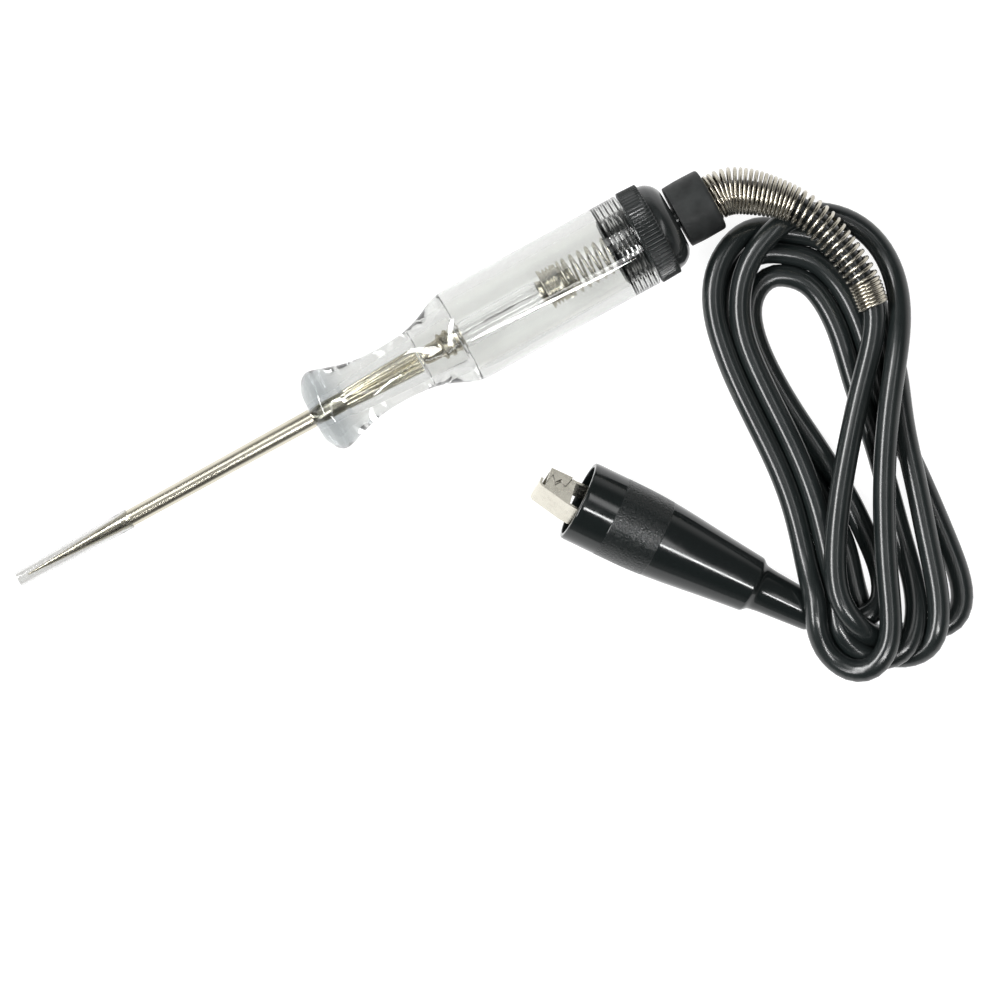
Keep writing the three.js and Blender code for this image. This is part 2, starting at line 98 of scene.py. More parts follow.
camera_data = bpy.data.cameras.new("camera")
camera_data.sensor_width = SENSOR
camera_data.lens = SENSOR * (CAMERA_HEIGHT - AXIS_Z) / VIEW_WIDTH
camera_data.clip_start = 0.05
camera = bpy.data.objects.new("camera", camera_data)
camera.location = Vector((*CAMERA_CENTRE, CAMERA_HEIGHT)) * MM
camera.rotation_euler = (0, 0, CAMERA_TURN)
bpy.context.scene.collection.objects.link(camera)
bpy.context.scene.camera = camera

# --- Mesh helpers --------------------------------------------------------------------------


def mesh_piece(name, vertices, faces, place, material, body, slot_name, sharp=40):
    """A smooth-shaded mesh piece. vertices are in millimetres in the axes that place gives."""
    points = [tuple((place @ Vector(v)) * MM) for v in vertices]
    mesh = bpy.data.meshes.new(name)
    mesh.from_pydata(points, [], faces)
    mesh.validate()
    mesh.update()
    mesh.polygons.foreach_set("use_smooth", [True] * len(mesh.polygons))
    mesh.set_sharp_from_angle(angle=math.radians(sharp))
    piece = bpy.data.objects.new(name, mesh)
    bpy.context.scene.collection.objects.link(piece)
    mesh.materials.append(material)
    if body:
        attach(piece, body)
    return piece


def revolve(profile, segments, ripple=None, ring=False):
    """Vertices and faces of a profile of (station, radius) turned about X.

    ripple(station, radius, angle) gives the radius at each point. A ring's profile closes on itself.
    """
    vertices, rows = [], []
    for x, r in profile:
        if r < ON_AXIS:
            rows.append([len(vertices)] * segments)
            vertices.append((x, 0, 0))
            continue
        rows.append(list(range(len(vertices), len(vertices) + segments)))
        for k in range(segments):
            angle = 2 * math.pi * k / segments
            radius = ripple(x, r, angle) if ripple else r
            vertices.append((x, radius * math.cos(angle), radius * math.sin(angle)))
    pairs = list(zip(rows, rows[1:]))
    if ring:
        pairs.append((rows[-1], rows[0]))
    faces = []
    for a, b in pairs:
        for k in range(segments):
            n = (k + 1) % segments
            corners = [a[k], b[k], b[n], a[n]]
            unique = list(dict.fromkeys(corners))
            if len(unique) > 2:
                faces.append(unique)
    return outward(vertices, faces)


def outward(vertices, faces):
    """The same mesh with its faces pointing out."""
    v = np.array(vertices, float)
    volume = 0
    for face in faces:
        for i in range(1, len(face) - 1):
            volume += np.dot(v[face[0]], np.cross(v[face[i]], v[face[i + 1]]))
    if volume < 0:
        faces = [list(reversed(face)) for face in faces]
    return vertices, faces


def fillet(corners, steps=5, closed=False):
    """A profile through corners of (station, radius, rounding), rounded where rounding is given."""
    out = []
    count = len(corners)
    for i, corner in enumerate(corners):
        rounding = corner[2] if len(corner) > 2 else 0
        here = np.array(corner[:2], float)
        if rounding <= 0 or (not closed and i in (0, count - 1)):
            out.append(tuple(here))
            continue
        before = np.array(corners[i - 1][:2], float) - here
        after = np.array(corners[(i + 1) % count][:2], float) - here
        edges = (np.linalg.norm(before), np.linalg.norm(after))
        reach = min(rounding, *(edge * FILLET_SHARE for edge in edges))
        start = here + before / edges[0] * reach
        end = here + after / edges[1] * reach
        for k in range(steps + 1):
            t = k / steps
            out.append(tuple((1 - t) ** 2 * start + 2 * t * (1 - t) * here + t * t * end))
    return out


def step_lengths(line):
    """The distance from each point of a line to the next."""
    return np.linalg.norm(np.diff(line, axis=0), axis=1)


def travel(line):
    """How far along a line each of its points is."""
    return np.r_[0, np.cumsum(step_lengths(line))]


def spline(points, steps):
    """A smooth line through points, with steps to each span."""
    p = np.array(points, float)
    p = np.vstack([2 * p[0] - p[1], p, 2 * p[-1] - p[-2]])
    out = []
    for a, b, c, d in zip(p, p[1:], p[2:], p[3:]):
        for k in range(steps):
            t = k / steps
            out.append(0.5 * (2 * b + (c - a) * t + (2 * a - 5 * b + 4 * c - d) * t * t
                              + (3 * b - a - 3 * c + d) * t ** 3))
    out.append(p[-2])
    return np.array(out)


def resample(line, spacing):
    """Points along a line, evenly spaced."""
    travelled = travel(line)
    count = max(2, int(round(travelled[-1] / spacing)))
    at = np.linspace(0, travelled[-1], count + 1)
    return np.stack([np.interp(at, travelled, line[:, k]) for k in range(3)], axis=1)


def frames_along(line):
    """Two unit normals at each point of a line, carried along it without twisting."""
    tangents = np.gradient(line, axis=0)
    tangents /= np.linalg.norm(tangents, axis=1)[:, None]
    side = np.cross(tangents[0], (0, 0, 1))
    if np.linalg.norm(side) < 1e-3:
        side = np.cross(tangents[0], (0, 1, 0))
    sides, ups = [], []
    for tangent in tangents:
        side = side - tangent * np.dot(side, tangent)
        side /= np.linalg.norm(side)
        sides.append(side)
        ups.append(np.cross(tangent, side))
    return np.array(sides), np.array(ups)


def tube(line, radius, sides, squeeze=None):
    """A capped tube along a line. radius is one number or one for each point."""
    line = np.asarray(line, float)
    radii = np.broadcast_to(radius, len(line))
    side, up = frames_along(line)
    angles = 2 * np.pi * np.arange(sides) / sides
    vertices = []
    for point, r, a, b in zip(line, radii, side, up):
        vertices.extend(point + r * (np.cos(t) * a + np.sin(t) * b) for t in angles)
    faces = []
    for i in range(len(line) - 1):
        for k in range(sides):
            n = (k + 1) % sides
            faces.append([i * sides + k, i * sides + n, (i + 1) * sides + n, (i + 1) * sides + k])
    faces.append(list(range(sides)))
    last = (len(line) - 1) * sides
    faces.append([last + k for k in reversed(range(sides))])
    return outward([tuple(v) for v in vertices], faces)


def coil(line, radius_at, turn_at, per_turn):
    """The wire line of a spring wound round a line. Both functions take the share of the length."""
    count = int(turn_at(1.0) * per_turn)
    travelled = travel(line)
    travelled /= travelled[-1]
    side, up = frames_along(line)
    share = np.linspace(0, 1, count + 1)
    centre, a, b = (
        np.stack([np.interp(share, travelled, m[:, k]) for k in range(3)], axis=1)
        for m in (line, side, up)
    )
    angle = np.array([2 * np.pi * turn_at(t) for t in share])[:, None]
    radius = np.array([radius_at(t) for t in share])[:, None]
    return centre + radius * (np.cos(angle) * a + np.sin(angle) * b)


# --- Materials -----------------------------------------------------------------------------

# Most of a noise's values lie in the first range. A color varies over the second.
NOISE_RANGE = (0.3, 0.7)
COLOR_STOPS = (0.35, 0.65)
# How far the painted crease shade on the clip reaches.
CREASE_SHADE_REACH = 0.0009  # metres
# The boot's grained band, on the clip's axis, and how soft each edge of it is.
BAND_START, BAND_END = 7.0, 17.0
BAND_EDGE = 0.06
# Where the painted shade over the finger stop has faded out, on the tool's axis. Past the shoulder the
# bore widens, and so does the radius that parts the handle's inner faces from its outer ones.
STOP_SHADE_END = 9
SHOULDER_STATIONS = (31, 32)
WALL_RADII = (4.9, 8.2)

surface = {}  # each finish's material, by name


class Shading:
    """The node tree of a material or of the world."""

    def __init__(self, tree):
        self.tree = tree

    def add(self, kind, **properties):
        node = self.tree.nodes.new(kind)
        for key, value in properties.items():
            setattr(node, key, value)
        return node

    def link(self, source, target):
        self.tree.links.new(source, target)

    def feed(self, socket, value):
        """Gives a socket an output to follow, or a constant."""
        if isinstance(value, bpy.types.NodeSocket):
            self.link(value, socket)
        else:
            socket.default_value = value

    def mapped(self, value, from_range, to_range=(0, 1), **properties):
        """value, with from_range brought to to_range and held at its ends."""
        node = self.add("ShaderNodeMapRange", **properties)
        for label, limits in (("From", from_range), ("To", to_range)):
            node.inputs[label + " Min"].default_value = limits[0]
            node.inputs[label + " Max"].default_value = limits[1]
        self.link(value, node.inputs["Value"])
        return node.outputs["Result"]

    def computed(self, kind, operation, *values):
        """The result of a Math or VectorMath node. Each value is an output or a constant."""
        node = self.add(kind, operation=operation)
        for socket, value in zip(node.inputs, values):
            self.feed(socket, value)
        return node.outputs["Vector" if operation == "MULTIPLY_ADD" else "Value"]

    def mix(self, factor, a, b, data_type="RGBA"):
        """a where factor is 0 and b where it is 1."""
        node = self.add("ShaderNodeMix", data_type=data_type)
        for label, value in (("Factor", factor), ("A", a), ("B", b)):
            self.feed(node.inputs[label], value)
        return node.outputs["Result"]


class Finish(Shading):
    """A node material round one Principled shader, kept in surface under its name."""

    def __init__(self, name, color, roughness, **sockets):
        self.material = bpy.data.materials.new(name)
        self.material.use_nodes = True
        surface[name] = self.material
        super().__init__(self.material.node_tree)
        self.shader = self.tree.nodes["Principled BSDF"]
        self.output = self.tree.nodes["Material Output"]
        self.shader.inputs["Base Color"].default_value = (*color, 1)
        self.shader.inputs["Roughness"].default_value = roughness
        for socket, value in sockets.items():
            self.shader.inputs[socket.replace("_", " ")].default_value = value
        self.coordinates = self.add("ShaderNodeTexCoord").outputs["Object"]

    def noise(self, scale, detail=3, stretch=None):
        """A noise value over the object. scale is cells to a metre."""
        node = self.add("ShaderNodeTexNoise")
        node.inputs["Scale"].default_value = scale
        node.inputs["Detail"].default_value = detail
        source = self.coordinates
        if stretch:
            mapping = self.add("ShaderNodeMapping")
            mapping.inputs["Scale"].default_value = stretch
            self.link(source, mapping.inputs["Vector"])
            source = mapping.outputs["Vector"]
        self.link(source, node.inputs["Vector"])
        return node.outputs["Fac"]

    def spread(self, value, low, high):
        """A noise value's usual range spread over low to high."""
        return self.mapped(value, NOISE_RANGE, (low, high))

    def vary_roughness(self, value, low, high):
        self.link(self.spread(value, low, high), self.shader.inputs["Roughness"])

    def vary_color(self, value, dark, light):
        ramp = self.add("ShaderNodeValToRGB")
        for element, position, color in zip(ramp.color_ramp.elements, COLOR_STOPS, (dark, light)):
            element.position = position
            element.color = (*color, 1)
        self.link(value, ramp.inputs["Fac"])
        self.link(ramp.outputs["Color"], self.shader.inputs["Base Color"])

    def bump(self, value, strength, distance):
        node = self.add("ShaderNodeBump")
        node.inputs["Strength"].default_value = strength
        node.inputs["Distance"].default_value = distance
        self.link(value, node.inputs["Height"])
        self.link(node.outputs["Normal"], self.shader.inputs["Normal"])

    def clear_shadow(self, tint):
        """Light reaches what is inside, as it does through thin clear plastic."""
        path = self.add("ShaderNodeLightPath")
        clear = self.add("ShaderNodeBsdfTransparent")
        clear.inputs["Color"].default_value = (*tint, 1)
        mix = self.add("ShaderNodeMixShader")
        self.link(path.outputs["Is Shadow Ray"], mix.inputs["Fac"])
        self.link(self.shader.outputs["BSDF"], mix.inputs[1])
        self.link(clear.outputs["BSDF"], mix.inputs[2])
        self.link(mix.outputs["Shader"], self.output.inputs["Surface"])


def make_finishes():
    """Every finish, with the small unevenness that the real surface has, and painted shade on the clip's
    folds and over the finger stop.
    """
    acrylic_finish()

    vinyl = Finish("clear_vinyl", (0.7, 0.7, 0.69), 0.12, Transmission_Weight=1.0, IOR=1.42)
    vinyl.vary_roughness(vinyl.noise(500, 3), 0.08, 0.22)
    vinyl.clear_shadow((0.9, 0.9, 0.9))

    glass = Finish("lamp_glass", (0.99, 0.99, 0.99), 0.01, Transmission_Weight=1.0, IOR=1.5)
    glass.bump(glass.noise(150, 1), 0.05, 0.0004)
    glass.clear_shadow((0.96, 0.96, 0.96))

    rod = Finish("rod_steel", (0.59, 0.56, 0.465), 0.24, Metallic=1.0)
    rod.vary_roughness(rod.noise(500, 3, stretch=(0.15, 1.0, 1.0)), 0.2, 0.28)
    rod.vary_color(rod.noise(90, 2), (0.56, 0.53, 0.435), (0.62, 0.59, 0.495))

    nickel = Finish("nickel", (0.64, 0.62, 0.55), 0.2, Metallic=1.0)
    nickel.vary_roughness(nickel.noise(900, 3), 0.17, 0.25)
    nickel.vary_color(nickel.noise(160, 3), (0.6, 0.58, 0.51), (0.69, 0.67, 0.6))
    nickel.bump(nickel.noise(260, 2), 0.02, 0.0001)

    clip_finish()

    wire = Finish("nickel_wire", (0.44, 0.41, 0.35), 0.26, Metallic=1.0)
    wire.vary_color(wire.noise(420, 3), (0.36, 0.335, 0.28), (0.52, 0.49, 0.42))
    wire.vary_roughness(wire.noise(600, 2), 0.2, 0.3)

    brass = Finish("contact_brass", (0.5, 0.46, 0.38), 0.26, Metallic=1.0)
    brass.vary_color(brass.noise(300, 3), (0.43, 0.39, 0.31), (0.56, 0.53, 0.45))
    brass.vary_roughness(brass.noise(700, 3), 0.22, 0.3)

    tungsten = Finish("tungsten", (0.35, 0.34, 0.34), 0.35, Metallic=1.0)
    tungsten.vary_roughness(tungsten.noise(2500, 2), 0.28, 0.45)

    cap = Finish("gloss_black", (0.014, 0.016, 0.016), 0.18, Specular_IOR_Level=0.55)
    cap.vary_roughness(cap.noise(500, 2), 0.15, 0.22)
    cap.vary_color(cap.noise(260, 2), (0.012, 0.014, 0.014), (0.018, 0.02, 0.02))

    rubber = Finish("matte_rubber", (0.02, 0.022, 0.022), 0.5, Specular_IOR_Level=0.2)
    rubber.vary_color(rubber.noise(300, 3), (0.014, 0.015, 0.015), (0.025, 0.027, 0.027))
    rubber.vary_roughness(rubber.noise(700, 3), 0.42, 0.6)
    rubber.bump(rubber.noise(2600, 3), 0.12, 0.0001)

    cord = Finish("cord_vinyl", (0.009, 0.012, 0.012), 0.24, Specular_IOR_Level=0.55)
    cord.vary_roughness(cord.noise(120, 1), 0.225, 0.25)
    cord.vary_color(cord.noise(180, 2), (0.008, 0.011, 0.011), (0.012, 0.015, 0.015))

    copper = Finish("copper", (0.72, 0.4, 0.26), 0.34, Metallic=1.0)
    copper.vary_color(copper.noise(900, 3), (0.6, 0.32, 0.2), (0.8, 0.47, 0.32))

    boot_finish()


def clip_finish():
    """Bright nickel, with painted shade darkening its folds and the gaps between its teeth."""
    clip = Finish("clip_nickel", (0.66, 0.63, 0.54), 0.25, Metallic=1.0)
    clip.vary_roughness(clip.noise(900, 3), 0.2, 0.3)
    # Painted shade: an occlusion node darkens the colour in the folds and between the teeth, where shade
    # falls.
    crease_occlusion = clip.add("ShaderNodeAmbientOcclusion", samples=16, only_local=False)
    crease_occlusion.inputs["Distance"].default_value = CREASE_SHADE_REACH
    crease_shade = clip.mapped(crease_occlusion.outputs["AO"], (0.25, 0.9))
    blotch = clip.mix(clip.spread(clip.noise(150, 2), 0.0, 1.0),
                      (0.63, 0.605, 0.53, 1), (0.71, 0.685, 0.605, 1))
    crease_shaded_color = clip.mix(crease_shade, (0.05, 0.045, 0.035, 1), blotch)
    clip.link(crease_shaded_color, clip.shader.inputs["Base Color"])


def acrylic_finish():
    """Clear acrylic, its outside tinted grey, and darker over the finger stop as painted shade. Only its
    outside is tinted.
    """
    acrylic = Finish("clear_acrylic", (0.9, 0.905, 0.89), 0.02, Transmission_Weight=1.0, IOR=1.49)
    # Painted shade: the outer faces darken towards the front of the finger stop and fade out along it.
    stop_shade, thin, inside = (0.26, 0.285, 0.295, 1), (0.56, 0.565, 0.55, 1), (0.98, 0.98, 0.97, 1)
    split = acrylic.add("ShaderNodeSeparateXYZ")
    acrylic.link(acrylic.coordinates, split.inputs["Vector"])
    station = split.outputs["X"]
    fade = acrylic.mapped(station, (HANDLE_FRONT_X * MM, (HANDLE_FRONT_X + STOP_SHADE_END) * MM),
                          interpolation_type="SMOOTHSTEP")
    outside = acrylic.mix(fade, stop_shade, thin)

    across = acrylic.computed("ShaderNodeVectorMath", "MULTIPLY_ADD",
                              acrylic.coordinates, (0, 1, 1), (0, 0, -AXIS_Z * MM))
    radius = acrylic.computed("ShaderNodeVectorMath", "LENGTH", across)
    wall = acrylic.mapped(station, [(HANDLE_FRONT_X + x) * MM for x in SHOULDER_STATIONS],
                          [r * MM for r in WALL_RADII])
    inner = acrylic.computed("ShaderNodeMath", "LESS_THAN", radius, wall)
    acrylic.link(acrylic.mix(inner, outside, inside), acrylic.shader.inputs["Base Color"])
    acrylic.vary_roughness(acrylic.noise(150, 1), 0.01, 0.03)
    acrylic.clear_shadow((0.95, 0.96, 0.96))


def boot_finish():
    """Gloss vinyl, with a grained band between two stations of the clip's axis."""
    boot = Finish("boot_vinyl", (0.007, 0.009, 0.009), 0.14, Specular_IOR_Level=0.45)
    axis = clip_turn.to_3x3() @ Vector((1, 0, 0))
    along = boot.computed("ShaderNodeVectorMath", "DOT_PRODUCT", boot.coordinates, axis)
    origin = axis.dot(clip_mouth) * MM
    masks = [
        boot.mapped(along, [origin + (station + side * BAND_EDGE) * MM for side in (-1, 1)], levels)
        for station, levels in ((BAND_START, (0, 1)), (BAND_END, (1, 0)))
    ]
    band = boot.computed("ShaderNodeMath", "MULTIPLY", *masks)
    grain = boot.noise(2300, 2)
    smooth = boot.spread(boot.noise(400, 2), 0.1, 0.17)
    roughness = boot.mix(band, smooth, boot.spread(grain, 0.25, 0.38), data_type="FLOAT")
    boot.link(roughness, boot.shader.inputs["Roughness"])
    boot.bump(boot.computed("ShaderNodeMath", "MULTIPLY", grain, band), 0.3, 0.0005)


make_finishes()

# --- Cord ----------------------------------------------------------------------------------

CORD_DIAMETER = 4.4
CORD_RADIUS = CORD_DIAMETER / 2
CORD_STEP = 1.6

# From inside the cap, through the collar and the strain relief. After its first point, which is
# further inside the cap, these are the CAD lead's own points.
LEAD_ROUTE = [
    (62.5, 0, 9.7), (64, 0, 9.7), (70, 0, 9.7), (77, 0, 9.7), (79, -0.2, 9.7), (82, -1.6, 9.9),
    (85, -4, 10.2), (88.5, -7.6, 10.4), (91, -11.6, 10.5), (92.6, -16.5, 10.4), (93.7, -23, 10.2),
    (94, -28, 10), (93.4, -33, 9.8), (90.6, -38, 9.6), (87, -42, 9.5), (83.8, -45.6, 9.4),
]
STRAIN_FIRST_POINT = 3
STRAIN_LAST_POINT = 12

# The loops, from the lead to the clip. Strands that cross lie about a diameter apart in height, and
# settle() parts what still touches.
BUNDLE_ROUTE = [
    # Down the middle on top of everything, and round the foot to the far right strand.
    (77, -53.5, 11), (72.5, -59, 11.5), (68.5, -64, 11.5), (65, -70, 11.5), (62, -75, 12),
    (60, -79.5, 12.5), (59.5, -83, 12), (60.5, -86, 10.5), (62, -88.5, 8), (65, -90.5, 5),
    (68, -91.5, 3), (72, -93, 2.2), (75, -95, 2.2), (78.5, -95, 2.2), (81, -93, 2.2),
    (82.5, -90, 2.2), (84, -81, 2.2), (85.5, -70, 2.2), (86.5, -54, 2.2), (88, -40.5, 2.2),
    # Third arch from the outside, and down the left underneath.
    (90.2, -28.8, 2.2), (90, -24.5, 2.2), (88.3, -20.5, 2.2), (84.8, -16, 2.2), (80.8, -13.4, 2.2),
    (76.6, -12.9, 2.2), (72.9, -14.6, 2.2), (69.7, -19, 2.2), (68, -26, 2.2), (67, -38.5, 2.2),
    (67.5, -51.5, 2.2), (68, -63, 2.2), (66, -75, 2.2), (64, -80.5, 2.2), (62, -85, 2.2),
    # Round the foot and up the right, over the strand next to it.
    (62, -89.5, 2.2), (63.5, -93, 2.2), (66.5, -95.5, 2.5), (70.5, -95.5, 3.5), (74, -93.5, 6.2),
    (76.5, -90.5, 6.6), (78, -86.5, 6.6), (81.5, -76, 6.6), (84, -68.5, 6.6), (87.5, -56, 6.6),
    (89.5, -51, 5.5), (91, -46.5, 3.5), (93, -41.5, 2.4), (94, -36, 2.2), (94, -31, 2.2),
    # Second arch, under the strain relief, and down the far left on top.
    (93.5, -26.5, 2.2), (92.5, -21.5, 2.2), (91, -17, 2.2), (88.5, -13, 2.2), (86, -10.5, 2.4),
    (83, -9, 3.2), (79, -8.8, 4.5), (75.5, -9.5, 5.5), (72, -11, 6.4), (69.5, -13.5, 6.6),
    (67, -17, 6.6), (65.5, -21.5, 6.6), (64.5, -26.5, 6.6), (63.5, -38.5, 6.6), (63, -51, 6.6),
    (61, -62.5, 6.6), (58.5, -72, 7), (57, -77.5, 7.5), (55, -82.5, 8), (54.5, -87.5, 8),
    # The lowest turn at the foot, and up the right on top of everything.
    (55.5, -91.5, 8), (58, -94, 8.5), (61.5, -94, 10), (64.5, -91.5, 11), (66.5, -88, 11),
    (71.5, -78, 11), (77, -67, 11), (83, -57, 11), (89.5, -47.5, 11), (93.5, -42.5, 10),
    (96, -39, 9), (98, -35.5, 7), (99.5, -31.5, 5.5), (100.3, -28, 4.5), (100.5, -24.5, 4),
    # The outermost arch, and down the left beside the strand before.
    (100, -21, 4), (98.5, -18, 4), (97, -15.5, 4), (95, -13.5, 4), (92.5, -12, 4.3), (89, -11.5, 5),
    (85, -11, 6), (81.5, -12, 6.6), (78, -13, 6.6), (75, -15.5, 6.6), (71.5, -20, 6.6),
    (69, -25, 6.6), (68, -31, 6.6), (67, -42.5, 6.6), (66.5, -53, 6.6), (64.5, -64.5, 6.6),
    (62, -70.5, 7), (60, -76.5, 8), (58.5, -81.5, 8.5), (58, -86.5, 8), (59, -90.5, 7),
    # Round the foot, and up the right underneath.
    (61.5, -93.5, 6.6), (65, -94.5, 6.6), (69, -93.5, 6.6), (72, -90, 6.6), (74, -85.5, 5.5),
    (75.5, -80.5, 3.5), (77, -75, 2.2), (80.5, -60.5, 2.2), (83.5, -47, 2.2), (85, -41, 2.2),
    # The innermost arch, down the left underneath, and back to the clip's neck.
    (86.7, -33.5, 2.2), (87.3, -27.8, 2.2), (86.7, -23.8, 2.2), (84.8, -20.1, 2.2), (81.7, -18, 2.2),
    (78.2, -17.9, 2.2), (75, -19.4, 2.2), (71.7, -23, 2.2), (69.5, -28, 2.2), (69, -38.5, 2.2),
    (70, -49, 2.2), (71, -60, 2.2), (71, -72, 2.2), (70.5, -77.5, 3), (69.2, -82, 4.5),
    (66.2, -85.8, 5.6), (62.3, -86.8, 5.6), (58.9, -84.8, 4.6),
]
NECK_STATIONS = (53, 48.6, 44, 38, 31)
# The boot's body and then its neck, on the clip's axis. The bundle passes over the neck.
BOOT_LENGTH = 37.7
NECK_END = 51.0
NECK_RADIUS = 4.0
CLIP_END_PINNED = 24.0

# Where the strain relief lies on the cord: from this x, down to this y, and within this length.
RELIEF_START_X = 77.0
RELIEF_END_Y = -33.0
RELIEF_REACH = 55.0
RELIEF_KEEP_OUT = 3.75

# The settling of the bundle: rounds of bending and the pull back, before and between the partings.
FIRST_BEND = (500, 0.001)
NEXT_BEND = (5, 0.004)
BEND_RATE = 0.06
SETTLE_STEPS = 300
PARTINGS = 2
PARTING_REACH = 1.2
NEIGHBOUR_DIAMETERS = 3.2  # points nearer than this along the cord don't push each other


def contact_radii(line):
    """How far each point of the cord keeps others away, with the strain relief or neck round it."""
    radii = np.full(len(line), CORD_RADIUS)
    travelled = travel(line)
    in_relief = (
        (line[:, 0] > RELIEF_START_X) & (travelled < RELIEF_REACH) & (line[:, 1] > RELIEF_END_Y)
    )
    radii[in_relief] = RELIEF_KEEP_OUT
    to_end = travelled[-1] - travelled
    in_neck = (to_end > BOOT_LENGTH - NECK_STATIONS[-1]) & (to_end < NECK_END - NECK_STATIONS[-1])
    radii[in_neck] = NECK_RADIUS
    return radii


def smoothed(line, free, rounds, hold, target):
    """Rounds of bending relaxation, with a pull back to the target."""
    for _ in range(rounds):
        curve = np.zeros_like(line)
        curve[1:-1] = line[:-2] + line[2:] - 2 * line[1:-1]
        change = np.zeros_like(line)
        change[1:-1] = curve[:-2] + curve[2:] - 2 * curve[1:-1]
        move = hold * (target - line) - BEND_RATE * change
        line[free] += move[free]
    return line


def settle(line, pinned, radii):
    """Parts the strands where they touch, with the cord stiff enough to keep its curves."""
    free = ~pinned
    target = smoothed(line.copy(), free, *FIRST_BEND, line)
    cord = target.copy()
    skip = int(math.ceil(NEIGHBOUR_DIAMETERS * CORD_DIAMETER / CORD_STEP))
    first, second = np.triu_indices(len(line), k=skip)
    apart = radii[first] + radii[second]
    for _ in range(SETTLE_STEPS):
        cord = smoothed(cord, free, *NEXT_BEND, target)
        for _ in range(PARTINGS):
            between = cord[second] - cord[first]
            distance = np.sqrt((between ** 2).sum(axis=1))
            near = distance < apart
            a, b = first[near], second[near]
            short = (apart[near] - distance[near]) / 2
            push = between[near] / (distance[near][:, None] + 1e-9) * short[:, None]
            moves = np.zeros_like(cord)
            hits = np.zeros(len(cord))
            np.add.at(moves, a, -push)
            np.add.at(moves, b, push)
            np.add.at(hits, a, 1)
            np.add.at(hits, b, 1)
            moves *= PARTING_REACH / np.maximum(1, hits)[:, None]
            cord[free] += moves[free]
            cord[:, 2] = np.maximum(cord[:, 2], CORD_RADIUS)
    return cord


def cord_line():
    """The cord's centreline, held still in the strain relief and in the boot."""
    neck = [tuple(CLIP @ Vector((s, 0, 0))) for s in NECK_STATIONS]
    line = resample(spline(LEAD_ROUTE + BUNDLE_ROUTE + neck, 12), CORD_STEP)
    travelled = travel(line)
    lead_length = step_lengths(spline(LEAD_ROUTE[:STRAIN_LAST_POINT + 1], 12)).sum()
    pinned = (travelled < lead_length) | (travelled > travelled[-1] - CLIP_END_PINNED)
    return resample(settle(line, pinned, contact_radii(line)), CORD_STEP)


centreline = cord_line()
cord = mesh_piece("cord", *tube(centreline, CORD_RADIUS, 28), TABLE,
                  surface["cord_vinyl"], ROOT, "cord_vinyl")
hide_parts("cord_lead", "cord_bundle_upper", "cord_bundle_lower", "cord_tail")

# --- Probe ---------------------------------------------------------------------------------

COVER_REAR = -40.4
NEEDLE_POINT = -62.7
NEEDLE_ROOT = -40.6
SPLINE_START, ROD_REAR = 6.0, 23.2
FLUTES = 16
FLUTE_DEPTH = 0.4
FLUTE_RUN_IN = 1.5


def probe_rod():
    """The needle and stem, fluted where the handle grips them."""

    def fluted(x, r, angle):
        if x < SPLINE_START:
            return r
        rise = min(1, (x - SPLINE_START) / FLUTE_RUN_IN)
        return r - FLUTE_DEPTH * rise * (0.5 + 0.5 * math.cos(FLUTES * angle)) ** 2

    steps = 12
    stem = [
        (SPLINE_START + (ROD_REAR - SPLINE_START) * k / steps, 1.95 + 0.6 * k / steps)
        for k in range(steps + 1)
    ]
    profile = fillet([
        (NEEDLE_POINT, 0), (NEEDLE_POINT + 0.15, 0.16, 0.1), (-44.5, 1.28), (-42.2, 1.42, 0.6),
        (-41.3, 1.5, 0.2), (NEEDLE_ROOT, 1.66, 0.2), (-39, 1.68), (-20, 1.78), (0, 1.9),
        (SPLINE_START - 0.4, 1.9),
    ]) + stem + fillet([(ROD_REAR, 2.55), (ROD_REAR + 0.05, 2.3, 0.1), (ROD_REAR + 0.1, 0)])
    rod = mesh_piece("probe_rod_turned", *revolve(profile, 192, fluted), TOOL,
                     surface["rod_steel"], "handle", "rod_steel", sharp=50)
    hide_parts("probe_rod")


def tip_cover():
    """The clear sleeve over the needle, open at both ends."""
    profile = fillet([
        (COVER_TIP, 1.1, 0.05), (COVER_TIP, 1.45, 0.12), (-58, 1.56, 1), (-46, 1.86, 1),
        (COVER_REAR, 1.98, 0.08), (COVER_REAR, 1.76, 0.05), (-42, 1.72, 0.4), (-43.4, 1.5, 0.4),
        (-58, 1.22, 1),
    ], closed=True)
    cover = mesh_piece("tip_sleeve", *revolve(profile, 48, ring=True), TOOL,
                       surface["clear_vinyl"], "cover", "clear_vinyl")
    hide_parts("tip_cover")


# --- Handle --------------------------------------------------------------------------------

BARREL_REAR = 70.9
CHAMBER_RADIUS = 7.2
THREAD_PITCH = 1.0
THREAD_DEPTH = 0.5
THREAD_TURNS = 5
CAP_FRONT = 65.0


